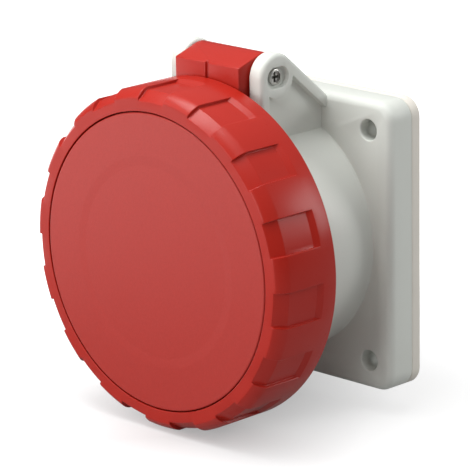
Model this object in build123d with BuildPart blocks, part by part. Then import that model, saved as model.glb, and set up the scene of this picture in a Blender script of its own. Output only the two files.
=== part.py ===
from build123d import *
import os
from math import cos, radians, sin

# Industrial panel socket with a hinged bayonet lid, shown closed, in millimetres.
# X is right, Y goes back into the panel, Z is up. The origin is on the socket's axis, in the plane
# of the panel. A depth is measured forward from that plane, so a depth d lies at Y = -d.
# An angle round the axis starts at the top and runs clockwise as seen from the front.

# Flange, its gasket and the mounting holes
flange_side = 75.0
flange_thick = 8.0
flange_corner_r = 5.0
flange_edge_r = 3.0
gasket_thick = 3.0
hole_inset = 7.5
hole_dia = 5.4
hole_wall = 3.0
hole_relief = 1.2

# Barrel, plug shroud and the bayonet lugs on the barrel
barrel_margin = 6.0
barrel_len = 36.5
barrel_root_r = 0.8
shroud_wall = 3.0
rim_chamfer = 0.6
floor_thick = 4.6
key_width = 8.0
key_depth = 1.8
collar_lug_height = 3.0
collar_lug_thick = 3.4
collar_lug_angle = 105.0
lug_arc = 22.0
lug_count = 2

# Contact carrier, the plate that holds it in the housing, its seal and its screws
plate_sink = 0.4
plate_thick = 3.2
plate_land = 6.2
carrier_seal_thick = 0.8
plug_slot = 4.0
well_depth = 7.5
face_land = 2.0
carrier_screw_count = 3
carrier_screw_r = 1.4
carrier_screw_head_r = 2.3
carrier_screw_head = 1.8
carrier_screw_bite = 3.2

# Contacts: sleeves for round pins at the front, wire terminals at the back
contact_inset = 8.0
contact_names = ["earth_contact", "neutral_contact", "line_3_contact", "line_2_contact", "line_1_contact"]
earth_angle = 180.0
line_pin_dia = 5.0
earth_pin_dia = 7.0
pin_play = 0.05
sleeve_wall = 1.0
sleeve_slot = 0.8
sleeve_slot_len = 22.0
sleeve_bore_len = 30.0
contact_collar = 1.2
contact_collar_thick = 2.0
terminal_wall = 1.6
terminal_len = 13.5
wire_bore_r = 2.2
wire_bore_len = 8.5
spring_thick = 0.5
spring_width = 4.0
spring_setback = 4.0
spring_opening = 2.0

# Terminal screws, set radially into the terminals
terminal_screw_setback = 8.5
terminal_screw_r = 1.45
terminal_screw_head_r = 2.0
terminal_screw_head = 1.8
terminal_screw_tip = 0.6
screw_slot = 0.6
screw_slot_depth = 0.9

# Terminal block behind the carrier, held by one screw on the axis
block_inset = 1.4
block_back_wall = 3.4
block_entry_r = 2.6
block_entry_flare = 1.0
block_screw_r = 1.9
block_screw_head_r = 3.6
block_screw_head = 2.6
block_screw_bite = 11.0
block_screw_land = 9.0

# Lid body, cover disc, seal and screws
lid_gap = 0.8
lid_plate = 2.9
disc_thick = 2.8
disc_gap = 0.3
disc_dish_share = 0.68
disc_dish = 0.15
disc_edge_r = 0.4
spigot_wall = 2.5
spigot_gap = 0.3
seal_width = 3.4
seal_sink = 1.6
seal_gap = 0.1
lid_screw_count = 4
lid_screw_inset = 8.0
lid_screw_r = 1.0
lid_screw_head_r = 2.0
lid_screw_head = 1.5
lid_screw_bite = 4.0
lid_boss_r = 3.2

# Locking ring with grip pockets, and the bayonet lugs in it
ring_len = 19.3
ring_wall = 2.9
ring_play = 0.4
front_rim = 5.6
bevel_width = 2.3
bevel_depth = 3.4
bevel_bulge = 0.35
ring_back_chamfer = 0.4
pocket_depth = 1.8
pocket_count = 15
pocket_share = 0.5
pocket_lip = 0.7
pocket_bevel = 2.8
pocket_back_band = 4.6
pocket_ramp = 1.5
lip_width = 2.75
lip_thick = 2.4
lip_play = 0.3
ring_lug_gap = 1.5
ring_lug_inset = 0.5
ring_lug_thick = 3.2
lug_play = 0.4
ring_turn = 30.0

# Hinge: ears on the housing, knuckle block on the lid body, steel pin
hinge_setback = 9.3
hinge_rise = 0.6
knuckle_r = 5.6
knuckle_half = 11.0
block_gap = 0.4
block_rise = 3.1
block_groove = 1.0
block_groove_depth = 0.8
arm_foot = 4.2
arm_gap = 0.5
arm_thick = 3.6
arm_lap = 0.9
ear_gap = 0.5
ear_web = 2.6
ear_rim = 1.9
ear_rim_width = 2.9
ear_edge_r = 1.2
ear_boss_r = 6.1
ear_web_boss_r = 5.4
ear_root_sink = 3.5
ear_root_drop = 3.0
ear_foot_share = 0.7
pin_r = 2.1
pin_recess = 0.8
pin_mouth_r = 2.7
pin_mouth_reach = 2.2
pin_mouth_depth = 1.4
pin_chamfer = 0.3

# Clearances shared by many pieces
fit = 0.05
loose = 0.2

# Depths, from the panel forward
flange_front = gasket_thick + flange_thick
rim_depth = flange_front + barrel_len
plate_back = gasket_thick + plate_sink
carrier_back = plate_back + plate_thick
floor_back = carrier_back + carrier_seal_thick
floor_front = floor_back + floor_thick
carrier_front = rim_depth - well_depth
sleeve_front = carrier_front - face_land
terminal_back = plate_back - terminal_len
block_back = terminal_back - block_back_wall
terminal_screw_depth = plate_back - terminal_screw_setback
lid_back = rim_depth + lid_gap
lid_plate_front = lid_back + lid_plate
lip_back = lid_plate_front + lip_play
lip_front = lip_back + lip_thick
disc_back = lip_front + lip_play
lid_front = disc_back + disc_thick
ring_back = lid_front - ring_len
ring_lug_back = ring_back + ring_lug_inset
ring_lug_front = ring_lug_back + ring_lug_thick
collar_lug_back = ring_lug_front + lug_play
collar_lug_front = collar_lug_back + collar_lug_thick
seal_front = lid_back + seal_sink
seal_back = rim_depth + seal_gap

# Radii, from the axis outward
hole_pitch = flange_side - 2 * hole_inset
barrel_r = flange_side / 2 - barrel_margin
shroud_in_r = barrel_r - shroud_wall
carrier_r = shroud_in_r - plug_slot
contact_circle_r = carrier_r - contact_inset
block_r = carrier_r - block_inset
plate_r = carrier_r + plate_land
carrier_screw_circle_r = carrier_r + plate_land / 2
carrier_bore_r = plate_r + loose
collar_lug_r = barrel_r + collar_lug_height
ring_lug_tip_r = barrel_r + ring_lug_gap
arm_in_r = collar_lug_r + arm_gap
lid_r = arm_in_r + arm_thick
ring_in_r = lid_r + ring_play
pocket_r = ring_in_r + ring_wall
ring_r = pocket_r + pocket_depth
recess_r = ring_r - front_rim
disc_r = recess_r - disc_gap
disc_dish_r = disc_dish_share * disc_r
lip_in_r = recess_r - lip_width
spigot_r = lip_in_r - spigot_gap
seal_mid_r = barrel_r - shroud_wall / 2
lid_screw_circle_r = seal_mid_r - lid_screw_inset
ear_foot_height = ear_foot_share * barrel_r

# Hinge places
pivot_depth = ring_back - hinge_setback
pivot_height = ring_r + hinge_rise
block_front = ring_back - block_gap
ear_in = knuckle_half + ear_gap
ear_web_out = ear_in + ear_web
ear_out = ear_web_out + ear_rim
ring_lug_angle = collar_lug_angle - ring_turn

contact_angles = [earth_angle + k * 360 / len(contact_names) for k in range(len(contact_names))]


def front_plane(depth):
    """Plane across the axis at a depth: X to the right, Z up, extruding forward."""
    return Plane(origin=(0, -depth, 0), x_dir=(1, 0, 0), z_dir=(0, -1, 0))


def side_plane(x):
    """Plane across the hinge at a place along X: depth to the right, Z up, extruding towards -X."""
    return Plane(origin=(x, 0, 0), x_dir=(0, -1, 0), z_dir=(-1, 0, 0))


def section_plane(angle=0.0, radius=0.0):
    """Half section at an angle round the axis, starting at a radius: outward to the right, depth up."""
    out = Vector(sin(radians(angle)), 0, cos(radians(angle)))
    return Plane(origin=out * radius, x_dir=out, z_dir=(out.Z, 0, -out.X))


def along_axis(angle, radius):
    """Line along the socket at an angle and a radius."""
    plane = section_plane(angle, radius)
    return Axis(plane.origin, (0, 1, 0))


def radial_plane(angle, radius, depth):
    """Plane that faces outward from the axis at an angle, a radius and a depth."""
    out = Vector(sin(radians(angle)), 0, cos(radians(angle)))
    return Plane(origin=out * radius + Vector(0, -depth, 0), x_dir=(0, -1, 0), z_dir=out)


def around(angle, radius):
    """Place on a plane across the axis, at an angle and a radius."""
    return (radius * sin(radians(angle)), radius * cos(radians(angle)))


def spaced(count, start=0.0):
    """Angles of evenly spaced copies."""
    return [start + k * 360 / count for k in range(count)]


def pin_dia(name):
    """Diameter of the plug pin that a contact takes."""
    return earth_pin_dia if name.startswith("earth") else line_pin_dia


def sleeve_r(name):
    """Outer radius of a contact's sleeve."""
    return pin_dia(name) / 2 + pin_play + sleeve_wall


def collar_r(name):
    """Outer radius of the collar that locates a contact in the carrier."""
    return sleeve_r(name) + contact_collar


def terminal_r(name):
    """Outer radius of a contact's wire terminal."""
    return max(wire_bore_r + terminal_wall, sleeve_r(name))


def save(builder, name):
    """Names a finished piece and writes it."""
    builder.part.label = name
    export_step(builder.part, f"parts/{name}.step")


os.makedirs("parts", exist_ok=True)

# Hinge ears: a boss round the pin, running down to the barrel and back to the flange
ear_root_depth = flange_front - ear_root_sink
ear_front = pivot_depth + ear_boss_r
ear_root_height = flange_side / 2 - ear_root_drop
ear_foot = (ear_front - ear_root_depth, ear_root_height - ear_foot_height)
ear_foot_at = ((ear_front + ear_root_depth) / 2, (ear_root_height + ear_foot_height) / 2)
with BuildPart() as ears:
    with BuildSketch(side_plane(ear_out), side_plane(-ear_in)):
        with Locations((pivot_depth, pivot_height)):
            Circle(ear_boss_r)
        with Locations(ear_foot_at):
            Rectangle(*ear_foot)
        make_hull()
    extrude(amount=ear_out - ear_in)
    outer_faces = ears.faces().sort_by(Axis.X)
    fillet(outer_faces[0].edges() + outer_faces[-1].edges(), ear_edge_r)

    # Web of each ear, sunk between its rims and its boss
    with BuildSketch(side_plane(ear_out), side_plane(-ear_web_out)):
        with Locations((pivot_depth, pivot_height)):
            Circle(ear_boss_r)
        with Locations(ear_foot_at):
            Rectangle(*ear_foot)
        make_hull()
        offset(amount=-ear_rim_width, kind=Kind.INTERSECTION, mode=Mode.REPLACE)
        with Locations((pivot_depth, pivot_height)):
            Circle(ear_web_boss_r, mode=Mode.SUBTRACT)
        with Locations((flange_front, 0)):
            Rectangle(flange_front, flange_side, align=(Align.MAX, Align.CENTER), mode=Mode.SUBTRACT)
    extrude(amount=ear_rim, mode=Mode.SUBTRACT)

    with BuildSketch(side_plane(ear_out), side_plane(-ear_out + pin_mouth_depth)):
        with Locations((pivot_depth, pivot_height)):
            SlotCenterToCenter(pin_mouth_reach, 2 * pin_mouth_r)
    extrude(amount=pin_mouth_depth, mode=Mode.SUBTRACT)
    with BuildSketch(side_plane(ear_out)):
        with Locations((pivot_depth, pivot_height)):
            Circle(pin_r + fit)
    extrude(amount=2 * ear_out, mode=Mode.SUBTRACT)

# Housing: flange, barrel and hinge ears in one moulding
with BuildPart() as housing:
    with BuildSketch(front_plane(gasket_thick)):
        RectangleRounded(flange_side, flange_side, flange_corner_r)
    extrude(amount=flange_thick)
    fillet(housing.faces().sort_by(Axis.Y)[0].edges(), flange_edge_r)
    add(ears.part)

    # Barrel with a soft root
    with BuildSketch(section_plane()):
        with BuildLine():
            Polyline(
                (barrel_r + barrel_root_r, flange_front),
                (barrel_r + barrel_root_r, gasket_thick),
                (0, gasket_thick),
                (0, rim_depth),
                (barrel_r - rim_chamfer, rim_depth),
                (barrel_r, rim_depth - rim_chamfer),
                (barrel_r, flange_front + barrel_root_r),
            )
            RadiusArc(
                (barrel_r, flange_front + barrel_root_r),
                (barrel_r + barrel_root_r, flange_front),
                barrel_root_r,
            )
        make_face()
    revolve(axis=Axis.Y)

    # Plug shroud with its keyway, floor with the opening for the carrier, and the seat behind it
    with BuildSketch(front_plane(floor_front)):
        Circle(shroud_in_r)
        with Locations((0, -shroud_in_r)):
            Rectangle(key_width, 2 * key_depth)
    extrude(amount=rim_depth - floor_front, mode=Mode.SUBTRACT)
    with BuildSketch(front_plane(gasket_thick)):
        Circle(carrier_r + loose)
    extrude(amount=floor_front - gasket_thick, mode=Mode.SUBTRACT)
    with BuildSketch(front_plane(gasket_thick)):
        Circle(carrier_bore_r)
    extrude(amount=floor_back - gasket_thick, mode=Mode.SUBTRACT)
    with BuildSketch(front_plane(floor_back)):
        with PolarLocations(carrier_screw_circle_r, carrier_screw_count, start_angle=90):
            Circle(carrier_screw_r + fit)
    extrude(amount=carrier_screw_bite, mode=Mode.SUBTRACT)

    # Mounting holes, relieved behind their front wall
    with BuildSketch(front_plane(gasket_thick)):
        with GridLocations(hole_pitch, hole_pitch, 2, 2):
            Circle(hole_dia / 2)
    extrude(amount=flange_thick, mode=Mode.SUBTRACT)
    with BuildSketch(front_plane(gasket_thick)):
        with GridLocations(hole_pitch, hole_pitch, 2, 2):
            Circle(hole_dia / 2 + hole_relief)
    extrude(amount=flange_thick - hole_wall, mode=Mode.SUBTRACT)
save(housing, "housing")

# Bayonet lugs on the barrel, a node of their own so that the ring's lugs can pass behind them
with BuildPart() as barrel_lugs:
    with BuildSketch(*[section_plane(a - lug_arc / 2) for a in spaced(lug_count, collar_lug_angle)]):
        with BuildLine():
            Polyline(
                (barrel_r, collar_lug_back),
                (collar_lug_r, collar_lug_back),
                (collar_lug_r, collar_lug_front - collar_lug_height / 2),
                (barrel_r, collar_lug_front),
                close=True,
            )
        make_face()
    revolve(axis=Axis.Y, revolution_arc=lug_arc)
save(barrel_lugs, "barrel_lugs")

# Flange gasket between the housing and the panel
with BuildPart() as flange_gasket:
    with BuildSketch(front_plane(0)):
        RectangleRounded(flange_side, flange_side, flange_corner_r)
        Circle(carrier_bore_r, mode=Mode.SUBTRACT)
        with GridLocations(hole_pitch, hole_pitch, 2, 2):
            Circle(hole_dia / 2, mode=Mode.SUBTRACT)
    extrude(amount=gasket_thick)
save(flange_gasket, "flange_gasket")

# Contact carrier: the insulating insert that the plug pins enter
with BuildPart() as contact_carrier:
    with BuildSketch(section_plane()):
        with BuildLine():
            Polyline(
                (0, carrier_back),
                (carrier_r, carrier_back),
                (carrier_r, carrier_front - rim_chamfer),
                (carrier_r - rim_chamfer, carrier_front),
                (0, carrier_front),
                close=True,
            )
        make_face()
    revolve(axis=Axis.Y)
    for contact_name, contact_angle in zip(contact_names, contact_angles):
        with BuildSketch(section_plane(contact_angle, contact_circle_r)):
            with BuildLine():
                Polyline(
                    (0, carrier_back),
                    (collar_r(contact_name) + fit, carrier_back),
                    (collar_r(contact_name) + fit, carrier_back + contact_collar_thick),
                    (sleeve_r(contact_name) + spring_thick + loose, carrier_back + contact_collar_thick),
                    (sleeve_r(contact_name) + spring_thick + loose, sleeve_front),
                    (pin_dia(contact_name) / 2 + loose, sleeve_front),
                    (pin_dia(contact_name) / 2 + loose, carrier_front - rim_chamfer),
                    (pin_dia(contact_name) / 2 + loose + rim_chamfer, carrier_front),
                    (0, carrier_front),
                    close=True,
                )
            make_face()
        revolve(axis=along_axis(contact_angle, contact_circle_r), mode=Mode.SUBTRACT)
    with BuildSketch(front_plane(carrier_back)):
        Circle(block_screw_r + fit)
    extrude(amount=block_screw_bite, mode=Mode.SUBTRACT)
save(contact_carrier, "contact_carrier")

# Carrier plate: traps the contacts' collars and is screwed to the floor of the housing
with BuildPart() as carrier_plate:
    with BuildSketch(front_plane(plate_back)):
        Circle(plate_r)
        Circle(block_screw_r + loose, mode=Mode.SUBTRACT)
        for contact_name, contact_angle in zip(contact_names, contact_angles):
            with Locations(around(contact_angle, contact_circle_r)):
                Circle(terminal_r(contact_name) + loose, mode=Mode.SUBTRACT)
        with PolarLocations(carrier_screw_circle_r, carrier_screw_count, start_angle=90):
            Circle(carrier_screw_r + loose, mode=Mode.SUBTRACT)
    extrude(amount=plate_thick)
    with BuildSketch(front_plane(plate_back)):
        with PolarLocations(carrier_screw_circle_r, carrier_screw_count, start_angle=90):
            Circle(carrier_screw_head_r + loose)
    extrude(amount=carrier_screw_head, mode=Mode.SUBTRACT)
save(carrier_plate, "carrier_plate")

# Seal between the carrier plate and the floor of the housing
with BuildPart() as carrier_seal:
    with BuildSketch(front_plane(carrier_back)):
        Circle(plate_r)
        Circle(carrier_r + loose, mode=Mode.SUBTRACT)
        with PolarLocations(carrier_screw_circle_r, carrier_screw_count, start_angle=90):
            Circle(carrier_screw_r + loose, mode=Mode.SUBTRACT)
    extrude(amount=carrier_seal_thick)
save(carrier_seal, "carrier_seal")

# Screws that hold the carrier plate to the housing
with BuildPart() as carrier_screws:
    carrier_screw_seat = plate_back + carrier_screw_head
    with BuildSketch(front_plane(plate_back)):
        with PolarLocations(carrier_screw_circle_r, carrier_screw_count, start_angle=90):
            Circle(carrier_screw_head_r)
    extrude(amount=carrier_screw_head)
    with BuildSketch(front_plane(carrier_screw_seat)):
        with PolarLocations(carrier_screw_circle_r, carrier_screw_count, start_angle=90):
            Circle(carrier_screw_r)
    extrude(amount=floor_back + carrier_screw_bite - fit - carrier_screw_seat)
    with BuildSketch(front_plane(plate_back)):
        with PolarLocations(carrier_screw_circle_r, carrier_screw_count, start_angle=90):
            Rectangle(screw_slot, 2 * carrier_screw_head_r)
    extrude(amount=screw_slot_depth, mode=Mode.SUBTRACT)
save(carrier_screws, "carrier_screws")

# Contacts: a slotted sleeve, a locating collar and a wire terminal turned from one bar
for contact_name, contact_angle in zip(contact_names, contact_angles):
    pin_bore_r = pin_dia(contact_name) / 2 + pin_play
    with BuildPart() as contact:
        with BuildSketch(section_plane(contact_angle, contact_circle_r)):
            with BuildLine():
                Polyline(
                    (0, sleeve_front - sleeve_bore_len),
                    (pin_bore_r, sleeve_front - sleeve_bore_len),
                    (pin_bore_r, sleeve_front),
                    (sleeve_r(contact_name), sleeve_front),
                    (sleeve_r(contact_name), carrier_back + contact_collar_thick),
                    (collar_r(contact_name), carrier_back + contact_collar_thick),
                    (collar_r(contact_name), carrier_back),
                    (terminal_r(contact_name), carrier_back),
                    (terminal_r(contact_name), terminal_back),
                    (wire_bore_r, terminal_back),
                    (wire_bore_r, terminal_back + wire_bore_len),
                    (0, terminal_back + wire_bore_len),
                    close=True,
                )
            make_face()
        revolve(axis=along_axis(contact_angle, contact_circle_r))
        with BuildSketch(front_plane(sleeve_front - sleeve_slot_len)):
            with Locations(around(contact_angle, contact_circle_r)):
                Rectangle(2 * collar_r(contact_name), sleeve_slot, rotation=-contact_angle)
                Rectangle(sleeve_slot, 2 * collar_r(contact_name), rotation=-contact_angle)
        extrude(amount=sleeve_slot_len, mode=Mode.SUBTRACT)
        with BuildSketch(radial_plane(contact_angle, contact_circle_r, terminal_screw_depth)):
            Circle(terminal_screw_r + fit)
        extrude(amount=collar_r(contact_name), mode=Mode.SUBTRACT)
    save(contact, contact_name)

# Spring clips that squeeze the slotted sleeves
with BuildPart() as contact_springs:
    for contact_name, contact_angle in zip(contact_names, contact_angles):
        with BuildSketch(front_plane(sleeve_front - spring_setback - spring_width)):
            with Locations(around(contact_angle, contact_circle_r)):
                Circle(sleeve_r(contact_name) + fit + spring_thick)
                Circle(sleeve_r(contact_name) + fit, mode=Mode.SUBTRACT)
                Rectangle(
                    spring_opening,
                    2 * collar_r(contact_name),
                    rotation=-contact_angle,
                    align=(Align.CENTER, Align.MIN),
                    mode=Mode.SUBTRACT,
                )
        extrude(amount=spring_width)
save(contact_springs, "contact_springs")

# Terminal screws, one in each terminal, reached from the side of the terminal block
with BuildPart() as terminal_screws:
    for contact_name, contact_angle in zip(contact_names, contact_angles):
        screw_seat_r = contact_circle_r + terminal_r(contact_name) + loose
        screw_tip_r = contact_circle_r + terminal_screw_tip
        with BuildSketch(radial_plane(contact_angle, screw_tip_r, terminal_screw_depth)):
            Circle(terminal_screw_r)
        extrude(amount=screw_seat_r - screw_tip_r)
        with BuildSketch(radial_plane(contact_angle, screw_seat_r, terminal_screw_depth)):
            Circle(terminal_screw_head_r)
        extrude(amount=terminal_screw_head)
        slot_floor_r = screw_seat_r + terminal_screw_head - screw_slot_depth
        with BuildSketch(radial_plane(contact_angle, slot_floor_r, terminal_screw_depth)):
            Rectangle(2 * terminal_screw_head_r, screw_slot)
        extrude(amount=screw_slot_depth, mode=Mode.SUBTRACT)
save(terminal_screws, "terminal_screws")

# Terminal block: closes the back, with a wire entry and a screw hole for each terminal
with BuildPart() as terminal_block:
    with BuildSketch(section_plane()):
        with BuildLine():
            Polyline(
                (0, block_back),
                (block_r - rim_chamfer, block_back),
                (block_r, block_back + rim_chamfer),
                (block_r, plate_back),
                (0, plate_back),
                close=True,
            )
        make_face()
    revolve(axis=Axis.Y)
    for contact_name, contact_angle in zip(contact_names, contact_angles):
        with BuildSketch(section_plane(contact_angle, contact_circle_r)):
            with BuildLine():
                Polyline(
                    (0, plate_back),
                    (terminal_r(contact_name) + loose, plate_back),
                    (terminal_r(contact_name) + loose, terminal_back),
                    (block_entry_r, terminal_back),
                    (block_entry_r, block_back + block_entry_flare),
                    (block_entry_r + block_entry_flare, block_back),
                    (0, block_back),
                    close=True,
                )
            make_face()
        revolve(axis=along_axis(contact_angle, contact_circle_r), mode=Mode.SUBTRACT)
        with BuildSketch(radial_plane(contact_angle, contact_circle_r, terminal_screw_depth)):
            Circle(terminal_screw_head_r + loose)
        extrude(amount=block_r, mode=Mode.SUBTRACT)
    with BuildSketch(front_plane(block_back)):
        Circle(block_screw_r + loose)
    extrude(amount=plate_back - block_back, mode=Mode.SUBTRACT)
    with BuildSketch(front_plane(block_back)):
        Circle(block_screw_head_r + loose)
    extrude(amount=plate_back - block_screw_land - block_back, mode=Mode.SUBTRACT)
save(terminal_block, "terminal_block")

# Screw on the axis that holds the terminal block and the plate to the carrier
with BuildPart() as block_screw:
    block_screw_seat = plate_back - block_screw_land
    with BuildSketch(front_plane(block_screw_seat - block_screw_head)):
        Circle(block_screw_head_r)
    extrude(amount=block_screw_head)
    with BuildSketch(front_plane(block_screw_seat)):
        Circle(block_screw_r)
    extrude(amount=carrier_back + block_screw_bite - fit - block_screw_seat)
    with BuildSketch(front_plane(block_screw_seat - block_screw_head)):
        Rectangle(2 * block_screw_head_r, screw_slot)
    extrude(amount=screw_slot_depth, mode=Mode.SUBTRACT)
save(block_screw, "block_screw")

# Hinge pin through both ears and the knuckle
with BuildPart() as hinge_pin:
    with BuildSketch(side_plane(ear_out - pin_recess)):
        with Locations((pivot_depth, pivot_height)):
            Circle(pin_r)
    extrude(amount=2 * (ear_out - pin_recess))
    chamfer(hinge_pin.edges().filter_by(GeomType.CIRCLE), pin_chamfer)
save(hinge_pin, "hinge_pin")

# Lid body: the plate behind the ring's lip, an arm inside the ring and the hinge knuckle
with BuildPart() as lid_body:
    with BuildSketch(front_plane(lid_back)):
        Circle(lid_r)
    extrude(amount=lid_plate)
    with BuildSketch(front_plane(block_front - arm_foot)):
        Circle(lid_r)
        Circle(arm_in_r, mode=Mode.SUBTRACT)
        Rectangle(2 * knuckle_half, lid_r, align=(Align.CENTER, Align.MIN), mode=Mode.INTERSECT)
    extrude(amount=lid_plate_front - block_front + arm_foot)
    with BuildSketch(side_plane(knuckle_half)):
        with Locations((pivot_depth, pivot_height)):
            Circle(knuckle_r)
        with Locations((block_front, arm_in_r + arm_lap)):
            Rectangle(
                arm_foot,
                pivot_height + block_rise - arm_in_r - arm_lap,
                align=(Align.MAX, Align.MIN),
            )
        make_hull()
        with Locations((pivot_depth, pivot_height)):
            Circle(pin_r + fit, mode=Mode.SUBTRACT)
    extrude(amount=2 * knuckle_half)
    with BuildSketch(front_plane(block_front)):
        with Locations((0, arm_in_r)):
            Rectangle(block_groove, pivot_height, align=(Align.CENTER, Align.MIN))
    extrude(amount=-block_groove_depth, mode=Mode.SUBTRACT)
    with BuildSketch(front_plane(lid_back)):
        Circle(seal_mid_r + seal_width / 2 + fit)
        Circle(seal_mid_r - seal_width / 2 - fit, mode=Mode.SUBTRACT)
    extrude(amount=seal_sink, mode=Mode.SUBTRACT)
    with BuildSketch(front_plane(lid_back)):
        with PolarLocations(lid_screw_circle_r, lid_screw_count, start_angle=45):
            Circle(lid_screw_r + loose)
    extrude(amount=lid_plate, mode=Mode.SUBTRACT)
    with BuildSketch(front_plane(lid_back)):
        with PolarLocations(lid_screw_circle_r, lid_screw_count, start_angle=45):
            Circle(lid_screw_head_r + loose)
    extrude(amount=lid_screw_head, mode=Mode.SUBTRACT)
save(lid_body, "lid_body")

# Cover disc: the lid's front, which also keeps the locking ring on the lid body
with BuildPart() as lid_disc:
    with BuildSketch(section_plane()):
        with BuildLine():
            Polyline(
                (0, disc_back),
                (disc_r, disc_back),
                (disc_r, lid_front - disc_edge_r),
                (disc_r - disc_edge_r, lid_front),
                (disc_dish_r + disc_edge_r, lid_front),
                (disc_dish_r, lid_front - disc_dish),
                (0, lid_front - disc_dish),
                close=True,
            )
        make_face()
    revolve(axis=Axis.Y)
    with BuildSketch(front_plane(lid_plate_front)):
        Circle(spigot_r)
        Circle(spigot_r - spigot_wall, mode=Mode.SUBTRACT)
        with PolarLocations(lid_screw_circle_r, lid_screw_count, start_angle=45):
            Circle(lid_boss_r)
    extrude(amount=disc_back - lid_plate_front)
    with BuildSketch(front_plane(lid_plate_front)):
        with PolarLocations(lid_screw_circle_r, lid_screw_count, start_angle=45):
            Circle(lid_screw_r + fit)
    extrude(amount=lid_screw_bite, mode=Mode.SUBTRACT)
save(lid_disc, "lid_disc")

# Lid seal, pressed on the rim of the barrel when the lid is locked
with BuildPart() as lid_seal:
    with BuildSketch(front_plane(seal_back)):
        Circle(seal_mid_r + seal_width / 2)
        Circle(seal_mid_r - seal_width / 2, mode=Mode.SUBTRACT)
    extrude(amount=seal_front - seal_back)
save(lid_seal, "lid_seal")

# Screws that hold the cover disc to the lid body
with BuildPart() as lid_screws:
    with BuildSketch(front_plane(lid_back)):
        with PolarLocations(lid_screw_circle_r, lid_screw_count, start_angle=45):
            Circle(lid_screw_head_r)
    extrude(amount=lid_screw_head)
    with BuildSketch(front_plane(lid_back + lid_screw_head)):
        with PolarLocations(lid_screw_circle_r, lid_screw_count, start_angle=45):
            Circle(lid_screw_r)
    extrude(amount=lid_plate + lid_screw_bite - fit - lid_screw_head)
    with BuildSketch(front_plane(lid_back)):
        with PolarLocations(lid_screw_circle_r, lid_screw_count, start_angle=45):
            Rectangle(2 * lid_screw_head_r, screw_slot)
    extrude(amount=screw_slot_depth, mode=Mode.SUBTRACT)
save(lid_screws, "lid_screws")

# Locking ring: turns round the lid, with grip pockets outside
with BuildPart() as locking_ring:
    with BuildSketch(section_plane()):
        with BuildLine():
            Polyline(
                (ring_r, lid_front - bevel_depth),
                (ring_r, ring_back + ring_back_chamfer),
                (ring_r - ring_back_chamfer, ring_back),
                (ring_in_r, ring_back),
                (ring_in_r, lip_back),
                (lip_in_r, lip_back),
                (lip_in_r, lip_front),
                (recess_r, lip_front),
                (recess_r, lid_front),
                (ring_r - bevel_width, lid_front),
            )
            SagittaArc((ring_r - bevel_width, lid_front), (ring_r, lid_front - bevel_depth), bevel_bulge)
        make_face()
    revolve(axis=Axis.Y)

    # Grip pockets: they fade out on the front bevel and end in a ramp before the back band
    pocket_arc = pocket_share * 360 / pocket_count
    pocket_back = ring_back + pocket_back_band
    with BuildSketch(*[section_plane(a - pocket_arc / 2) for a in spaced(pocket_count)]):
        with BuildLine():
            Polyline(
                (ring_r - bevel_width - pocket_lip, lid_front),
                (pocket_r, lid_front - pocket_bevel),
                (pocket_r, pocket_back + pocket_ramp),
                (ring_r, pocket_back),
                (ring_r + pocket_depth, pocket_back),
                (ring_r + pocket_depth, lid_front),
                close=True,
            )
        make_face()
    revolve(axis=Axis.Y, revolution_arc=pocket_arc, mode=Mode.SUBTRACT)
save(locking_ring, "locking_ring")

# Bayonet lugs inside the locking ring, which hook behind the barrel's lugs when it turns
with BuildPart() as ring_lugs:
    with BuildSketch(*[section_plane(a - lug_arc / 2) for a in spaced(lug_count, ring_lug_angle)]):
        with BuildLine():
            Polyline(
                (ring_lug_tip_r, ring_lug_back),
                (ring_in_r, ring_lug_back),
                (ring_in_r, ring_lug_front),
                (ring_lug_tip_r, ring_lug_front),
                close=True,
            )
        make_face()
    revolve(axis=Axis.Y, revolution_arc=lug_arc)
save(ring_lugs, "ring_lugs")
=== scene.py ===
from math import acos, asin, atan2, cos, degrees, hypot, pi, radians, sin
import bpy
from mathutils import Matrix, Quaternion, Vector


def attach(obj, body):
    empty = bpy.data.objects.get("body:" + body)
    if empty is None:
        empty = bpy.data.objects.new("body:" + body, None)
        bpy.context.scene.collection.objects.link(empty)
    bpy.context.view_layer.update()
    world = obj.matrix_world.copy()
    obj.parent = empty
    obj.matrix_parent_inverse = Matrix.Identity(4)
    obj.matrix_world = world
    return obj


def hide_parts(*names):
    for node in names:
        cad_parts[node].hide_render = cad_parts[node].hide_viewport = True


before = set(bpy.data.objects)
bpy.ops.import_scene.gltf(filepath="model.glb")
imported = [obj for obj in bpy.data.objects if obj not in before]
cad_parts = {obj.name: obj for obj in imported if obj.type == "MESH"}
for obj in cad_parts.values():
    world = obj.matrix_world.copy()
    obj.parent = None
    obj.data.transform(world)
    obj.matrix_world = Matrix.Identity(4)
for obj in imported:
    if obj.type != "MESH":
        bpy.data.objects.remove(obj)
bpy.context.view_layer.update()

# Industrial panel socket with a hinged bayonet lid. Sizes are in millimetres, as in the part's source:
# x is right, a depth is measured forward from the panel, z is up, and an angle round the socket's
# axis starts at the top and runs clockwise as seen from the front.
MM = 0.001
axis_turn = (0, -1, 0)

# Fineness of round forms, small distances of mesh work, and how far a tool runs past what it cuts
round_steps = 240
small_round_steps = 48
screw_hole_steps = 32
arc_steps = 24
small_arc_steps = 16
lug_steps = 14
edge_steps = 4
merge_gap = 0.0005
sector_merge_gap = 0.001
sliver = 0.002
near = 0.001
overrun = 1.0

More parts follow.
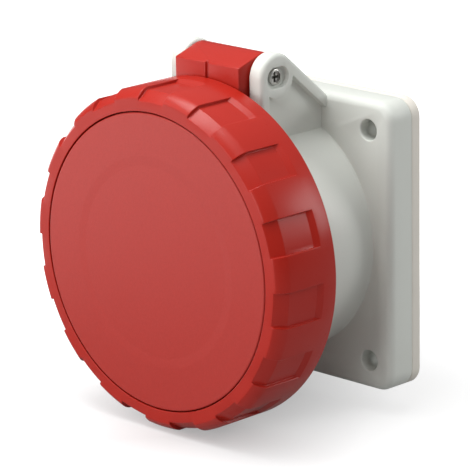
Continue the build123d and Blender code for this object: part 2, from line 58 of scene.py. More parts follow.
# Flange, gasket and barrel
flange_side = 75.0
flange_back = 3.0
flange_front = 11.0
flange_corner_r = 5.0
flange_edge_r = 2.1
hole_reach = 30.0
hole_r = 2.7
hole_wall = 3.0
hole_mouth_r = 0.35
hole_mouth_slack = 0.02
hole_relief_r = 3.9
barrel_r = 31.5
barrel_root_r = 0.3
barrel_root_steps = 5
rim_depth = 47.5
rim_chamfer = 0.6
shroud_in_r = 28.5
shroud_chamfer = 0.4
seat_r = 30.9
floor_back = 7.4
floor_front = 12.0
floor_hole_r = 24.7
key_width = 8.0
key_depth = 1.8
parting_edge = 0.3

# Bayonet lugs on the barrel and in the ring
lug_arc = 22.0
lug_edge_r = 0.3
collar_lug_angles = (105.0, 285.0)
collar_lug_r = 34.5
collar_lug_sink = 1.5
collar_lug_back = 41.8
collar_lug_front = 45.2
ring_lug_angles = (75.0, 255.0)
ring_lug_r = 33.0
ring_lug_sink = 1.0
ring_lug_back = 38.2
ring_lug_front = 41.4

# Locking ring
ring_r = 43.7
ring_in_r = 39.0
ring_back = 37.7
ring_front = 57.0
ring_back_chamfer = 0.25
recess_r = 38.1
lip_in_r = 35.35
lip_back = 51.5
lip_front = 53.9
bevel_width = 2.3
bevel_depth = 3.4
bevel_bulge = 0.35
bevel_steps = 6
pocket_count = 15
pocket_r = 42.9
pocket_lip = 0.7
pocket_bevel = 3.3
pocket_back = 42.3
pocket_ramp = 1.6
pocket_steps = 8
ring_edge_r = 0.14
ramp_sharp = 20.0

# Lid: body with its knuckle block, cover disc, seal
lid_back = 48.3
lid_plate_front = 51.2
lid_r = 38.6
disc_back = 54.2
disc_front = 57.0
disc_r = 37.8
disc_edge_r = 0.4
disc_dish_r = 25.7
disc_dish = 0.1
disc_dish_slope = 2.4
disc_sharp = 2.0
spigot_r = 35.05
spigot_in_r = 32.55
seal_in_r = 28.3
seal_out_r = 31.7
seal_back = 47.6
seal_front = 49.9
seal_play = 0.05
seal_edge_r = 0.5
lid_screw_circle_r = 22.0
lid_screw_angles = (45, 135, 225, 315)
lid_screw_hole_r = 1.2
lid_screw_head_r = 2.2
lid_screw_head = 1.5
lid_boss_r = 3.2
lid_boss_sink = 0.5

# Hinge
pivot_depth = 28.4
pivot_z = 44.3
knuckle_r = 5.6
knuckle_half = 11.0
block_front = 37.3
block_foot = 33.1
block_low = 35.9
block_top = 47.4
block_edge_r = 0.3
block_groove = 1.0
block_groove_depth = 0.8
block_groove_overrun = 5.0
arm_in_r = 35.0
arm_inset = 0.02
arm_front_sink = 0.5
ear_in = 11.5
ear_web_out = 14.1
ear_out = 16.0
ear_boss_r = 6.1
ear_web_boss_r = 5.4
ear_rim_width = 2.9
ear_edge_r = 1.2
ear_inner_edge_r = 0.9
ear_cut_edge_r = 0.2
ear_root_depth = 7.5
ear_root_z = 34.5
ear_foot_z = 22.05
ear_web_lift = 2.0
pin_r = 2.1
pin_hole_r = 2.15
pin_bore_reach = 20.0
pin_end = 15.2
pin_chamfer = 0.2
pin_cup_r = 1.55
pin_cup_depth = 0.5
cross_width = 0.7
cross_reach = 2.8
cross_depth = 1.5
pin_mouth_r = 2.7
pin_mouth_reach = 2.2
pin_mouth_depth = 1.4

# Numbers that the finishes share: a moulding's grain and flow clouding, a metal's tool marks and patina
plastic_ior = 1.53
grain_roughness_swing = 0.06
grain_strength = 0.6
flow_cloud_mm = 9.0
mark_roughness_swing = 0.08
patina_mm = 3.0
patina_shade = 0.86

# Sockets of a colour mix: its two colours and its result
mix_from = 6
mix_to = 7
mix_out = 2

# Studio floor, with a painted shadow in its glow to the camera, darkest along a slanting line under the
# socket, lighter to both sides
studio_floor_z = -43.75
studio_floor_side = 8000.0
studio_floor_roughness = 0.9
painted_shadow_slant = 0.5
painted_shadow_line = -15.0
painted_shadow_width = 43.0
painted_shadow_dark = 0.33
painted_shadow_light = 0.68
painted_shadow_fade_from = 55.0
painted_shadow_fade_to = 110.0
painted_shadow_fade_dark = 0.36
painted_shadow_fade_light = 1.0
# Painted reflection: how the floor's glow to reflections rises from near the socket to far off to its front
# left
painted_reflection_near = -120.0
painted_reflection_far = -350.0
near_painted_reflection = 0.1
far_painted_reflection = 1.9

# Light of the dome at the horizon and overhead, the white sky's share in a gloss, and where lamps point
dome_low = 0.0
dome_high = 0.75
sky_gloss = 0.0
lid_middle = (0, 40, 0)
barrel_middle = (0, 20, 0)

# Camera at the photograph's place
camera_place = (594.86, 635.40, 238.26)
camera_yaw = 44.41
camera_dip = 15.59
camera_roll = -0.88
camera_lens = 267.29
camera_sensor = 36.0


def spot(x, depth, z):
    """Point in the frame: right, forward of the panel and up, in millimetres."""
    return Vector((x, -depth, z)) * MM


def around(r, depth, angle):
    """Point at a radius and a depth, at an angle round the socket's axis."""
    return spot(r * sin(radians(angle)), depth, r * cos(radians(angle)))


def curve(middle, r, start, end, steps):
    """Flat points on an arc, from one angle to another."""
    turns = [radians(start + (end - start) * k / steps) for k in range(steps + 1)]
    return [(middle[0] + r * cos(a), middle[1] + r * sin(a)) for a in turns]


def clear_selection():
    """Object mode with nothing selected."""
    if bpy.context.mode != "OBJECT":
        bpy.ops.object.mode_set(mode="OBJECT")
    bpy.ops.object.select_all(action="DESELECT")


def take(piece):
    """Makes one piece the only selected and active one."""
    clear_selection()
    piece.select_set(True)
    bpy.context.view_layer.objects.active = piece


def draw(points):
    """Draws a line through points as a new piece, point by point, left in edit mode and selected."""
    clear_selection()
    bpy.ops.mesh.primitive_plane_add(size=MM, location=(0, 0, 0))
    piece = bpy.context.object
    bpy.ops.object.mode_set(mode="EDIT")
    bpy.ops.mesh.select_mode(type="VERT")
    bpy.ops.mesh.select_all(action="SELECT")
    bpy.ops.mesh.merge(type="CENTER")
    bpy.ops.transform.translate(value=points[0])
    for before, after in zip(points, points[1:]):
        bpy.ops.mesh.extrude_vertices_move(TRANSFORM_OT_translate={"value": after - before})
    bpy.ops.mesh.select_all(action="SELECT")
    return piece


def tidy_mesh():
    """Closes seams and turns all faces outwards, then leaves edit mode."""
    bpy.ops.mesh.select_all(action="SELECT")
    bpy.ops.mesh.remove_doubles(threshold=merge_gap * MM)
    bpy.ops.mesh.normals_make_consistent(inside=False)
    bpy.ops.object.mode_set(mode="OBJECT")


def turned(section, steps=round_steps, start=0.0, arc=360.0):
    """Spins a closed section of (radius, depth) points round the socket's axis."""
    piece = draw([around(r, d, start) for r, d in section])
    closed = section[0][0] > 0 or section[-1][0] > 0
    if closed:
        bpy.ops.mesh.edge_face_add()
        bpy.ops.mesh.delete(type="ONLY_FACE")
        bpy.ops.mesh.select_all(action="SELECT")
    bpy.ops.mesh.spin(steps=steps, angle=radians(arc), center=(0, 0, 0), axis=axis_turn)
    if arc < 360:
        bpy.ops.mesh.select_all(action="SELECT")
        bpy.ops.mesh.remove_doubles(threshold=merge_gap * MM)
        close_holes()
    tidy_mesh()
    return piece


def close_holes():
    """Fills every open loop of the mesh in edit mode."""
    bpy.ops.mesh.select_all(action="DESELECT")
    bpy.ops.mesh.select_non_manifold(
        extend=False, use_wire=False, use_boundary=True, use_multi_face=False,
        use_non_contiguous=False, use_verts=False,
    )
    bpy.ops.mesh.fill_holes(sides=0)


def slab(outline, x_from, x_to):
    """Extrudes an outline of (depth, z) points along x."""
    piece = draw([spot(x_from, d, z) for d, z in outline])
    bpy.ops.mesh.edge_face_add()
    bpy.ops.mesh.extrude_region_move(TRANSFORM_OT_translate={"value": spot(x_to - x_from, 0, 0)})
    tidy_mesh()
    return piece


def rod(r, steps, x, z, back, front):
    """Cylinder along the socket's axis, as a tool for a hole or a start for a boss."""
    clear_selection()
    bpy.ops.mesh.primitive_cylinder_add(
        vertices=steps, radius=r * MM, depth=(front - back) * MM,
        location=spot(x, (front + back) / 2, z), rotation=(pi / 2, 0, 0),
    )
    bpy.ops.object.transform_apply(location=True, rotation=True, scale=True)
    return bpy.context.object


def cross_rod(r, steps, x_from, x_to, depth, z):
    """Cylinder along the hinge."""
    clear_selection()
    bpy.ops.mesh.primitive_cylinder_add(
        vertices=steps, radius=r * MM, depth=(x_to - x_from) * MM,
        location=spot((x_from + x_to) / 2, depth, z), rotation=(0, pi / 2, 0),
    )
    bpy.ops.object.transform_apply(location=True, rotation=True, scale=True)
    return bpy.context.object


def brick(low, high):
    """Box between two corners."""
    clear_selection()
    bpy.ops.mesh.primitive_cube_add(size=1, location=(low + high) / 2)
    bpy.context.object.scale = [abs(b - a) for a, b in zip(low, high)]
    bpy.ops.object.transform_apply(location=True, rotation=True, scale=True)
    return bpy.context.object


def combine(piece, tool, how):
    """Joins a tool to a piece or cuts it out, and removes the tool."""
    take(piece)
    change = piece.modifiers.new("combine", "BOOLEAN")
    change.operation = how
    change.solver = "EXACT"
    change.object = tool
    bpy.ops.object.modifier_apply(modifier=change.name)
    bpy.data.objects.remove(tool)


def pick_edges(piece, wanted):
    """Selects the edges of a piece that a test of their two ends wants, in edit mode."""
    take(piece)
    bpy.ops.object.mode_set(mode="EDIT")
    bpy.ops.mesh.select_mode(type="EDGE")
    bpy.ops.mesh.select_all(action="DESELECT")
    bpy.ops.object.mode_set(mode="OBJECT")
    ends = piece.data.vertices
    for edge in piece.data.edges:
        edge.select = wanted(*(ends[k].co / MM for k in edge.vertices))
    bpy.ops.object.mode_set(mode="EDIT")


def round_picked(width, segments):
    """Bevels the picked edges and leaves edit mode."""
    bpy.ops.mesh.bevel(offset=width * MM, segments=segments, affect="EDGES", clamp_overlap=False)
    bpy.ops.object.mode_set(mode="OBJECT")


def soften(piece, width, segments=2, angle=35.0):
    """Rounds every sharp edge of a piece a little."""
    take(piece)
    edge = piece.modifiers.new("soften", "BEVEL")
    edge.width = width * MM
    edge.segments = segments
    edge.limit_method = "ANGLE"
    edge.angle_limit = radians(angle)
    edge.use_clamp_overlap = False
    bpy.ops.object.modifier_apply(modifier=edge.name)


def deliver(piece, name, body, nodes, finish, angle=30.0):
    """Names a finished piece, clears its slivers, shades it and puts it in the place of its nodes."""
    take(piece)
    bpy.ops.object.mode_set(mode="EDIT")
    bpy.ops.mesh.select_all(action="SELECT")
    bpy.ops.mesh.dissolve_degenerate(threshold=sliver * MM)
    bpy.ops.object.mode_set(mode="OBJECT")
    bpy.ops.object.shade_smooth_by_angle(angle=radians(angle))
    piece.name = name
    piece.data.name = name
    piece.data.materials.clear()
    piece.data.materials.append(finish)
    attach(piece, body)
    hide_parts(*nodes)


def linear(colour):
    """Linear colour from an sRGB hex value."""
    parts = [int(colour[k:k + 2], 16) / 255 for k in (1, 3, 5)]
    return [c / 12.92 if c <= 0.04045 else ((c + 0.055) / 1.055) ** 2.4 for c in parts] + [1.0]


def add(tree, kind, settings=None, links=None):
    """Adds a node to a material: settings fill its properties or sockets, and links join its sockets."""
    node = tree.nodes.new(kind)
    for key, value in (settings or {}).items():
        if isinstance(key, str) and hasattr(node, key):
            setattr(node, key, value)
        else:
            node.inputs[key].default_value = value
    for key, source in (links or {}).items():
        tree.links.new(source, node.inputs[key])
    return node


def per_mm(size):
    """Scale of a pattern whose features are this many millimetres wide."""
    return 1 / (size * MM)


def moulded(name, colour, shade, roughness, gloss_level, grain_mm, grain_height_mm, cloud_mm=flow_cloud_mm):
    """Moulded plastic or rubber: an even colour with faint clouding, and a fine tool grain in its gloss."""
    finish = bpy.data.materials.new(name)
    finish.use_nodes = True
    tree = finish.node_tree
    shader = tree.nodes["Principled BSDF"]
    shader.inputs["IOR"].default_value = plastic_ior
    shader.inputs["Specular IOR Level"].default_value = gloss_level
    place = {"Vector": add(tree, "ShaderNodeTexCoord").outputs["Object"]}
    cloud = add(tree, "ShaderNodeTexNoise", {"Scale": per_mm(cloud_mm), "Detail": 3.0}, place)
    colours = {"data_type": "RGBA", mix_from: linear(colour), mix_to: linear(shade)}
    tint = add(tree, "ShaderNodeMix", colours, {"Factor": cloud.outputs["Fac"]})
    tree.links.new(tint.outputs[mix_out], shader.inputs["Base Color"])
    grain = add(tree, "ShaderNodeTexNoise", {"Scale": per_mm(grain_mm), "Detail": 2.0}, place)
    swing = {"To Min": roughness - grain_roughness_swing, "To Max": roughness + grain_roughness_swing}
    gloss = add(tree, "ShaderNodeMapRange", swing, {"Value": grain.outputs["Fac"]})
    tree.links.new(gloss.outputs["Result"], shader.inputs["Roughness"])
    relief = {"Strength": grain_strength, "Distance": grain_height_mm * MM}
    bump = add(tree, "ShaderNodeBump", relief, {"Height": grain.outputs["Fac"]})
    tree.links.new(bump.outputs["Normal"], shader.inputs["Normal"])
    return finish


def turned_metal(name, colour, roughness, mark_mm):
    """Turned or drawn metal: fine tool marks in its gloss and a faint dull patina."""
    finish = bpy.data.materials.new(name)
    finish.use_nodes = True
    tree = finish.node_tree
    shader = tree.nodes["Principled BSDF"]
    shader.inputs["Metallic"].default_value = 1.0
    place = {"Vector": add(tree, "ShaderNodeTexCoord").outputs["Object"]}
    marks = add(tree, "ShaderNodeTexNoise", {"Scale": per_mm(mark_mm), "Detail": 2.0}, place)
    patina = add(tree, "ShaderNodeTexNoise", {"Scale": per_mm(patina_mm), "Detail": 4.0}, place)
    dulled = [c * patina_shade for c in linear(colour)[:3]] + [1.0]
    colours = {"data_type": "RGBA", mix_from: linear(colour), mix_to: dulled}
    tint = add(tree, "ShaderNodeMix", colours, {"Factor": patina.outputs["Fac"]})
    tree.links.new(tint.outputs[mix_out], shader.inputs["Base Color"])
    swing = {"To Min": roughness - mark_roughness_swing, "To Max": roughness + mark_roughness_swing}
    gloss = add(tree, "ShaderNodeMapRange", swing, {"Value": marks.outputs["Fac"]})
    tree.links.new(gloss.outputs["Result"], shader.inputs["Roughness"])
    return finish


# Finishes, with grain and tool marks of about 0.1 mm drawn as coarse as they need to be to show

# Light grey polyamide, injection moulded: a satin pale grey with soft, wide highlights
grey_polyamide = moulded(
    "grey_moulded_polyamide", "#DBDED8", "#D6D9D2",
    roughness=0.46, gloss_level=0.3, grain_mm=0.35, grain_height_mm=0.004,
)
# Red polyamide, injection moulded in a smooth tool: a deep clear red, with bright streaks along its bevels
red_polyamide = moulded(
    "red_moulded_polyamide", "#AF2519", "#AA2217",
    roughness=0.30, gloss_level=0.24, grain_mm=0.35, grain_height_mm=0.004,
)
# The same red from a spark-eroded tool: finely mottled, with a dull even sheen that pales towards the light
red_sparked = moulded(
    "red_spark_eroded_polyamide", "#B0291E", "#A42217",
    roughness=0.40, gloss_level=0.42, grain_mm=0.40, grain_height_mm=0.045, cloud_mm=0.7,
)
# Pale elastomer, moulded: a warm off-white with hardly any gloss
pale_elastomer = moulded(
    "pale_moulded_elastomer", "#E8E4DB", "#E3DED4",
    roughness=0.70, gloss_level=0.3, grain_mm=0.50, grain_height_mm=0.006,
)
# Black nitrile rubber, moulded: nearly black, with a dull broad sheen
black_nitrile = moulded(
    "black_nitrile_rubber", "#1D1D1D", "#232323",
    roughness=0.62, gloss_level=0.3, grain_mm=0.40, grain_height_mm=0.006,
)
# Dark grey polyamide, injection moulded: an even charcoal with a satin face
dark_polyamide = moulded(
    "dark_moulded_polyamide", "#3A3B3D", "#353638",
    roughness=0.50, gloss_level=0.3, grain_mm=0.35, grain_height_mm=0.004,
)
# Brass, turned: a soft yellow metal whose reflections are broken by tool marks
turned_brass = turned_metal("turned_brass", "#C9A860", roughness=0.30, mark_mm=0.25)
# Steel, zinc plated: a cool grey metal, slightly dulled in patches
zinc_steel = turned_metal("zinc_plated_steel", "#B9B8B4", roughness=0.34, mark_mm=0.25)

# Locking ring: one pocket and one pad as a sector, repeated round the socket
pitch = 360 / pocket_count
quarter = pitch / 4
inner_run = [
    (ring_r, pocket_back),
    (ring_r, ring_back + ring_back_chamfer),
    (ring_r - ring_back_chamfer, ring_back),
    (ring_in_r, ring_back),
    (ring_in_r, lip_back),
    (lip_in_r, lip_back),
    (lip_in_r, lip_front),
    (recess_r, lip_front),
    (recess_r, ring_front),
    (ring_r - bevel_width - pocket_lip, ring_front),
]
bevel_chord = hypot(bevel_width, bevel_depth)
bevel_r = (bevel_chord ** 2 / 4 + bevel_bulge ** 2) / (2 * bevel_bulge)
bevel_half = degrees(asin(bevel_chord / 2 / bevel_r))
bevel_lean = degrees(atan2(bevel_width, bevel_depth))
bevel_middle = (
    ring_r - bevel_width / 2 - (bevel_r - bevel_bulge) * cos(radians(bevel_lean)),
    ring_front - bevel_depth / 2 - (bevel_r - bevel_bulge) * sin(radians(bevel_lean)),
)
bevel_run = curve(bevel_middle, bevel_r, bevel_lean + bevel_half, bevel_lean - bevel_half, bevel_steps)[1:]
pad_section = inner_run + [(ring_r - bevel_width, ring_front)] + bevel_run
pocket_run = [(pocket_r, ring_front - pocket_bevel), (pocket_r, pocket_back + pocket_ramp)]
pocket_section = inner_run + pocket_run


def ring_strip(section, start):
    """Spins one part of the ring's sector from an angle."""
    strip = draw([around(r, d, start) for r, d in section + section[:1]])
    bpy.ops.mesh.remove_doubles(threshold=merge_gap * MM)
    bpy.ops.mesh.spin(steps=pocket_steps, angle=radians(2 * quarter), center=(0, 0, 0), axis=axis_turn)
    bpy.ops.object.mode_set(mode="OBJECT")
    return strip


locking_ring = ring_strip(pocket_section, -quarter)
pad_strip = ring_strip(pad_section, quarter)
take(locking_ring)
pad_strip.select_set(True)
bpy.ops.object.join()
bpy.ops.object.mode_set(mode="EDIT")
bpy.ops.mesh.select_all(action="SELECT")
bpy.ops.mesh.spin(
    steps=pocket_count - 1, dupli=True, angle=radians(360 - pitch), center=(0, 0, 0), axis=axis_turn,
)
bpy.ops.mesh.select_all(action="SELECT")
bpy.ops.mesh.remove_doubles(threshold=sector_merge_gap * MM)
close_holes()
tidy_mesh()
soften(locking_ring, ring_edge_r, angle=ramp_sharp)
ring_lug_root = ring_in_r + ring_lug_sink
ring_lug_section = [
    (ring_lug_r, ring_lug_back), (ring_lug_root, ring_lug_back),
    (ring_lug_root, ring_lug_front), (ring_lug_r, ring_lug_front),
]
for lug_angle in ring_lug_angles:
    lug = turned(ring_lug_section, lug_steps, lug_angle - lug_arc / 2, lug_arc)
    soften(lug, lug_edge_r)
    combine(locking_ring, lug, "UNION")
deliver(locking_ring, "locking_ring_moulding", "ring", ["locking_ring", "ring_lugs"],
        red_polyamide, ramp_sharp)

# Cover disc with its shallow dish, spigot and screw bosses
disc_section = [(0, disc_front - disc_dish), (disc_dish_r - disc_dish_slope / 2, disc_front - disc_dish)]
disc_section += [(disc_dish_r + disc_dish_slope / 2, disc_front)]
disc_section += curve((disc_r - disc_edge_r, disc_front - disc_edge_r), disc_edge_r, 90, 0, edge_steps)
disc_section += [(disc_r, disc_back), (spigot_r, disc_back), (spigot_r, lid_plate_front)]
disc_section += [(spigot_in_r, lid_plate_front), (spigot_in_r, disc_back), (0, disc_back)]
lid_disc = turned(disc_section)
lid_screw_turns = [radians(angle) for angle in lid_screw_angles]
lid_screw_places = [(lid_screw_circle_r * cos(a), lid_screw_circle_r * sin(a)) for a in lid_screw_turns]
for x, z in lid_screw_places:
    boss = rod(lid_boss_r, small_round_steps, x, z, lid_plate_front, disc_back + lid_boss_sink)
    combine(lid_disc, boss, "UNION")
deliver(lid_disc, "lid_disc_moulding", "lid", ["lid_disc"], red_sparked, disc_sharp)

# Lid body: plate, arm and knuckle block
lid_body = turned([
    (0, lid_back), (seal_in_r - seal_play, lid_back), (seal_in_r - seal_play, seal_front),
    (seal_out_r + seal_play, seal_front), (seal_out_r + seal_play, lid_back), (lid_r, lid_back),
    (lid_r, lid_plate_front), (0, lid_plate_front),
])
arm_half = degrees(asin(knuckle_half / lid_r))
arm_r = lid_r - arm_inset
arm_front = lid_plate_front - arm_front_sink
arm = turned([
    (arm_in_r, block_foot), (arm_r, block_foot), (arm_r, arm_front), (arm_in_r, arm_front),
], arc_steps, -arm_half, 2 * arm_half)
combine(lid_body, arm, "UNION")
to_top = Vector((block_front - pivot_depth, block_top - pivot_z))
top_touch = degrees(atan2(to_top.y, to_top.x) + acos(knuckle_r / to_top.length))
to_foot = Vector((block_foot - pivot_depth, block_low - pivot_z))
low_touch = 360 + degrees(atan2(to_foot.y, to_foot.x) - acos(knuckle_r / to_foot.length))
block_outline = [(block_front, block_low), (block_front, block_top)]
block_outline += curve((pivot_depth, pivot_z), knuckle_r, top_touch, low_touch, arc_steps)
block_outline += [(block_foot, block_low)]
block = slab(block_outline, -knuckle_half, knuckle_half)
groove_low = spot(-block_groove / 2, block_front - block_groove_depth, block_low - block_groove_overrun)
groove_high = spot(block_groove / 2, block_front + block_groove_overrun, block_top + block_groove_overrun)
combine(block, brick(groove_low, groove_high), "DIFFERENCE")
soften(block, block_edge_r, segments=3)
combine(lid_body, block, "UNION")
bore = cross_rod(pin_hole_r, small_round_steps, -pin_bore_reach, pin_bore_reach, pivot_depth, pivot_z)
combine(lid_body, bore, "DIFFERENCE")
head_depth = lid_back + lid_screw_head
for x, z in lid_screw_places:
    hole = rod(lid_screw_hole_r, screw_hole_steps, x, z, lid_back - overrun, lid_plate_front + overrun)
    combine(lid_body, hole, "DIFFERENCE")
    sink = rod(lid_screw_head_r, screw_hole_steps, x, z, lid_back - overrun, head_depth)
    combine(lid_body, sink, "DIFFERENCE")
deliver(lid_body, "lid_body_moulding", "lid", ["lid_body"], red_polyamide)


def flange_plate(back, front):
    """Square plate with round corners."""
    half = flange_side / 2
    plate = brick(spot(-half, back, -half), spot(half, front, half))
    pick_edges(plate, lambda a, b: abs(a.x - b.x) < near and abs(a.z - b.z) < near)
    round_picked(flange_corner_r, segments=12)
    return plate


def bolt_holes(plate, r, back, front):
    """Cuts the four mounting holes."""
    for x in (-hole_reach, hole_reach):
        for z in (-hole_reach, hole_reach):
            combine(plate, rod(r, small_round_steps, x, z, back, front), "DIFFERENCE")


def at_depth(depth):
    """Test for the edges that lie at a depth."""
    return lambda a, b: max(abs(a.y + depth), abs(b.y + depth)) < near


def on_hole_mouth(place):
    """Whether a point of the housing, in millimetres, is on the front edge of a mounting hole."""
    off_axis = hypot(abs(place.x) - hole_reach, abs(place.z) - hole_reach)
    return max(abs(place.y + flange_front), abs(off_axis - hole_r)) < hole_mouth_slack


# Housing: flange, barrel, ears and bayonet lugs
housing = flange_plate(flange_back, flange_front)
pick_edges(housing, at_depth(flange_front))
round_picked(flange_edge_r, segments=8)
pick_edges(housing, at_depth(flange_back))
round_picked(parting_edge, segments=2)
root_middle = (barrel_r + barrel_root_r, flange_front + barrel_root_r)
root = curve(root_middle, barrel_root_r, 180, 270, barrel_root_steps)
barrel = turned([
    (0, floor_back), (barrel_r + barrel_root_r, floor_back), *root[::-1],
    (barrel_r, rim_depth - rim_chamfer), (barrel_r - rim_chamfer, rim_depth), (0, rim_depth),
])
combine(housing, barrel, "UNION")
ear_front = pivot_depth + ear_boss_r
to_root = Vector((ear_root_depth - pivot_depth, ear_root_z - pivot_z))
ear_touch = degrees(atan2(to_root.y, to_root.x) - acos(ear_boss_r / to_root.length)) % 360
ear_outline = [(ear_front, ear_foot_z)]
ear_outline += curve((pivot_depth, pivot_z), ear_boss_r, 0, ear_touch, arc_steps)
ear_outline += [(ear_root_depth, ear_root_z), (ear_root_depth, ear_foot_z)]
ear = slab(ear_outline, ear_in, ear_out)
pick_edges(ear, lambda a, b: min(a.x, b.x) > ear_out - near)
round_picked(ear_edge_r, segments=5)
pick_edges(ear, lambda a, b: max(a.x, b.x) < ear_in + near)
round_picked(ear_inner_edge_r, segments=4)
web_turn = degrees(acos((ear_boss_r - ear_rim_width) / ear_web_boss_r))
web_touch = ear_touch + web_turn
web_front = 360 - web_turn
slope = Vector((cos(radians(ear_touch)), sin(radians(ear_touch))))
web_root_z = pivot_z + (ear_boss_r - ear_rim_width - slope.x * (flange_front - pivot_depth)) / slope.y
web_foot_z = ear_foot_z + ear_web_lift
web_outline = curve((pivot_depth, pivot_z), ear_web_boss_r, web_touch, web_front, small_arc_steps)
web_outline += [(ear_front - ear_rim_width, web_foot_z), (flange_front, web_foot_z)]
web_outline += [(flange_front, web_root_z)]
web = slab(web_outline, ear_web_out, ear_out + overrun)
combine(ear, web, "DIFFERENCE")
mouth_half = pin_mouth_reach / 2
mouth_outline = curve((pivot_depth + mouth_half, pivot_z), pin_mouth_r, -90, 90, small_arc_steps)
mouth_outline += curve((pivot_depth - mouth_half, pivot_z), pin_mouth_r, 90, 270, small_arc_steps)
mouth = slab(mouth_outline, ear_out - pin_mouth_depth, ear_out + overrun)
combine(ear, mouth, "DIFFERENCE")
soften(ear, ear_cut_edge_r, angle=50.0)
bore = cross_rod(pin_hole_r, small_round_steps, ear_in - overrun, ear_out + overrun, pivot_depth, pivot_z)
combine(ear, bore, "DIFFERENCE")
take(ear)
mirror = ear.modifiers.new("other_ear", "MIRROR")
bpy.ops.object.modifier_apply(modifier=mirror.name)
bpy.ops.object.mode_set(mode="EDIT")
tidy_mesh()
combine(housing, ear, "UNION")
collar_lug_root = barrel_r - collar_lug_sink
collar_lug_slope = collar_lug_front - (collar_lug_r - barrel_r) / 2
collar_lug_section = [
    (collar_lug_root, collar_lug_back), (collar_lug_r, collar_lug_back), (collar_lug_r, collar_lug_slope),
    (barrel_r, collar_lug_front), (collar_lug_root, collar_lug_front),
]
for lug_angle in collar_lug_angles:
    lug = turned(collar_lug_section, lug_steps, lug_angle - lug_arc / 2, lug_arc)
    soften(lug, lug_edge_r)
    combine(housing, lug, "UNION")
cavity_back = flange_back - overrun
cavity_front = rim_depth + overrun
shroud_mouth_r = shroud_in_r + shroud_chamfer
cavity = turned([
    (0, cavity_back), (seat_r, cavity_back), (seat_r, floor_back), (floor_hole_r, floor_back),
    (floor_hole_r, floor_front), (shroud_in_r, floor_front), (shroud_in_r, rim_depth - shroud_chamfer),
    (shroud_mouth_r, rim_depth), (shroud_mouth_r, cavity_front), (0, cavity_front),
])
combine(housing, cavity, "DIFFERENCE")
keyway = brick(spot(-key_width / 2, floor_front, -shroud_in_r - key_depth),
               spot(key_width / 2, cavity_front, -shroud_in_r + key_depth))
combine(housing, keyway, "DIFFERENCE")
bolt_holes(housing, hole_r, cavity_back, flange_front + overrun)
bolt_holes(housing, hole_relief_r, cavity_back, flange_front - hole_wall)
pick_edges(housing, lambda a, b: on_hole_mouth(a) and on_hole_mouth(b))
round_picked(hole_mouth_r, segments=3)
deliver(housing, "housing_moulding", "housing", ["housing", "barrel_lugs"],
        grey_polyamide)

# Flange gasket
gasket = flange_plate(0.0, flange_back)
soften(gasket, parting_edge)
combine(gasket, rod(seat_r, round_steps, 0, 0, -overrun, flange_back + overrun), "DIFFERENCE")
bolt_holes(gasket, hole_r, -overrun, flange_back + overrun)
deliver(gasket, "flange_gasket_moulding", "housing", ["flange_gasket"], pale_elastomer)

# Hinge pin with a cross recess in its right end
pin = cross_rod(pin_r, small_round_steps, -pin_end, pin_end, pivot_depth, pivot_z)
soften(pin, pin_chamfer)
cup_from = pin_end - pin_cup_depth
cup = cross_rod(pin_cup_r, small_round_steps, cup_from, pin_end + overrun, pivot_depth, pivot_z)
combine(pin, cup, "DIFFERENCE")
for wide, high in ((cross_width, cross_reach), (cross_reach, cross_width)):
    recess = brick(spot(pin_end - cross_depth, pivot_depth - wide / 2, pivot_z - high / 2),
                   spot(pin_end + overrun, pivot_depth + wide / 2, pivot_z + high / 2))
    combine(pin, recess, "DIFFERENCE")
deliver(pin, "hinge_pin_turned", "housing", ["hinge_pin"], zinc_steel)

# Lid seal with rounded edges
seal_edge_depth = seal_back + seal_edge_r
seal_section = curve((seal_in_r + seal_edge_r, seal_edge_depth), seal_edge_r, 180, 270, edge_steps)
seal_section += curve((seal_out_r - seal_edge_r, seal_edge_depth), seal_edge_r, 270, 360, edge_steps)
seal_section += [(seal_out_r, seal_front), (seal_in_r, seal_front)]
lid_seal = turned(seal_section)
deliver(lid_seal, "lid_seal_ring", "lid", ["lid_seal"], black_nitrile)

# Finishes for the pieces that stay as they are in the frame
kept = {
    dark_polyamide: ["contact_carrier", "carrier_plate", "terminal_block"],
    black_nitrile: ["carrier_seal"],
    turned_brass: [
        "earth_contact", "neutral_contact", "line_1_contact", "line_2_contact", "line_3_contact",
    ],
    zinc_steel: ["contact_springs", "terminal_screws", "carrier_screws", "block_screw", "lid_screws"],
}
for finish, names in kept.items():
    for name in names:
        for finish_slot in bpy.data.objects[name].material_slots:
            finish_slot.material = finish

# Floor of uncoated white paper: matt, glowing white to the camera, with a painted shadow in that glow under
# the socket besides the shade it really catches
clear_selection()
bpy.ops.mesh.primitive_plane_add(size=studio_floor_side * MM, location=(0, 0, studio_floor_z * MM))
floor = bpy.context.object
floor.name = "floor"
floor_paper = bpy.data.materials.new("white_paper")
floor_paper.use_nodes = True
tree = floor_paper.node_tree
paper = tree.nodes["Principled BSDF"]
paper.inputs["Base Color"].default_value = linear("#A8A8A8")
paper.inputs["Roughness"].default_value = studio_floor_roughness
paper.inputs["Specular IOR Level"].default_value = 0.0
paper.inputs["Emission Color"].default_value = (1, 1, 1, 1)
rays = add(tree, "ShaderNodeLightPath").outputs
place = add(tree, "ShaderNodeTexCoord").outputs["Object"]
along = add(tree, "ShaderNodeSeparateXYZ", links={0: place}).outputs
aside = add(tree, "ShaderNodeMath", {"operation": "MULTIPLY_ADD", 1: painted_shadow_slant},
            {0: along["Y"], 2: along["X"]}).outputs[0]
off_line = add(tree, "ShaderNodeMath", {"operation": "SUBTRACT", 1: painted_shadow_line * MM}, {0: aside}).outputs[0]
both_ways = add(tree, "ShaderNodeMath", {"operation": "ABSOLUTE"}, {0: off_line}).outputs[0]
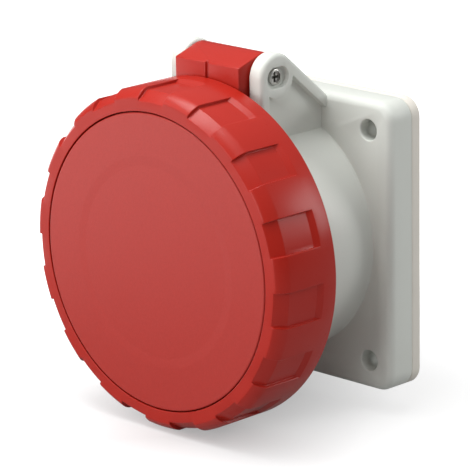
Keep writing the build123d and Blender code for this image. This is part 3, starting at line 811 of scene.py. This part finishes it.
# Painted shadow: the floor's glow to the camera is dimmed along a slanting line under the socket and near
# the socket
painted_shadow_range = {"From Max": painted_shadow_width * MM, "To Min": painted_shadow_dark, "To Max": painted_shadow_light}
shade = add(tree, "ShaderNodeMapRange", painted_shadow_range, {"Value": both_ways}).outputs["Result"]
away = add(tree, "ShaderNodeVectorMath", {"operation": "LENGTH"}, {0: place}).outputs["Value"]
painted_shadow_fade_range = {
    "From Min": painted_shadow_fade_from * MM, "From Max": painted_shadow_fade_to * MM,
    "To Min": painted_shadow_fade_dark, "To Max": painted_shadow_fade_light,
}
painted_shadow_fade = add(tree, "ShaderNodeMapRange", painted_shadow_fade_range, {"Value": away}).outputs["Result"]
lift = add(tree, "ShaderNodeMath", {"operation": "MAXIMUM"}, {0: shade, 1: painted_shadow_fade}).outputs[0]
to_camera = add(tree, "ShaderNodeMath", {"operation": "MULTIPLY_ADD"},
                {0: rays["Is Camera Ray"], 1: lift, 2: rays["Is Transmission Ray"]}).outputs[0]
# Painted reflection: the floor glows to reflections, faintly near the socket and strongly far off to its
# front left
painted_reflection_range = {
    "From Min": painted_reflection_near * MM, "From Max": painted_reflection_far * MM,
    "To Min": near_painted_reflection, "To Max": far_painted_reflection,
}
sheen = add(tree, "ShaderNodeMapRange", painted_reflection_range, {"Value": aside}).outputs["Result"]
shown = add(tree, "ShaderNodeMath", {"operation": "MULTIPLY_ADD"},
            {0: rays["Is Glossy Ray"], 1: sheen, 2: to_camera}).outputs[0]
tree.links.new(shown, paper.inputs["Emission Strength"])
floor.data.materials.append(floor_paper)

# World: a soft dome, brightest overhead, that is plain white to the camera
world = bpy.data.worlds.new("studio")
bpy.context.scene.world = world
world.use_nodes = True
tree = world.node_tree
sky = tree.nodes["Background"]
sky.inputs["Color"].default_value = (1, 1, 1, 1)
rays = add(tree, "ShaderNodeLightPath").outputs
toward = add(tree, "ShaderNodeTexCoord").outputs["Generated"]
up = add(tree, "ShaderNodeSeparateXYZ", links={0: toward}).outputs["Z"]
dome_range = {"To Min": dome_low, "To Max": dome_high}
dome = add(tree, "ShaderNodeMapRange", dome_range, {"Value": up}).outputs["Result"]
gleam = add(tree, "ShaderNodeMath", {"operation": "MULTIPLY_ADD", 1: sky_gloss},
            {0: rays["Is Glossy Ray"], 2: rays["Is Transmission Ray"]}).outputs[0]
seen = add(tree, "ShaderNodeMath", {"operation": "MAXIMUM"},
           {0: rays["Is Camera Ray"], 1: gleam}).outputs[0]
level = add(tree, "ShaderNodeMix", {"data_type": "FLOAT", "B": 1.0}, {"Factor": seen, "A": dome})
tree.links.new(level.outputs["Result"], sky.inputs["Strength"])


def softbox(name, place, aim, side, power):
    """Square soft light at a place, pointed at another, in millimetres and watts."""
    clear_selection()
    bpy.ops.object.light_add(type="AREA", location=spot(*place))
    lamp = bpy.context.object
    lamp.name = name
    lamp.data.shape = "SQUARE"
    lamp.data.size = side * MM
    lamp.data.energy = power
    lamp.rotation_euler = (spot(*aim) - spot(*place)).to_track_quat("-Z", "Y").to_euler()


softbox("overhead_softbox", (20, 120, 420), lid_middle, side=360, power=0.5)
softbox("overhead_left_softbox", (-80, 100, 380), lid_middle, side=200, power=0.87)
softbox("front_left_softbox", (-300, 420, 260), lid_middle, side=450, power=1.0)
softbox("low_front_softbox", (0, 600, 60), lid_middle, side=400, power=1.6)
softbox("right_back_softbox", (400, -380, 200), barrel_middle, side=220, power=0.95)

# Camera
clear_selection()
bpy.ops.object.camera_add(location=spot(*camera_place))
camera = bpy.context.object
yaw = radians(camera_yaw)
dip = radians(camera_dip)
forward = Vector((-sin(yaw) * cos(dip), cos(yaw) * cos(dip), -sin(dip)))
camera.rotation_mode = "QUATERNION"
camera.rotation_quaternion = forward.to_track_quat("-Z", "Y") @ Quaternion((0, 0, 1), radians(camera_roll))
camera.data.sensor_width = camera_sensor
camera.data.lens = camera_lens
bpy.context.scene.camera = camera
bpy.context.scene.view_settings.view_transform = "Standard"
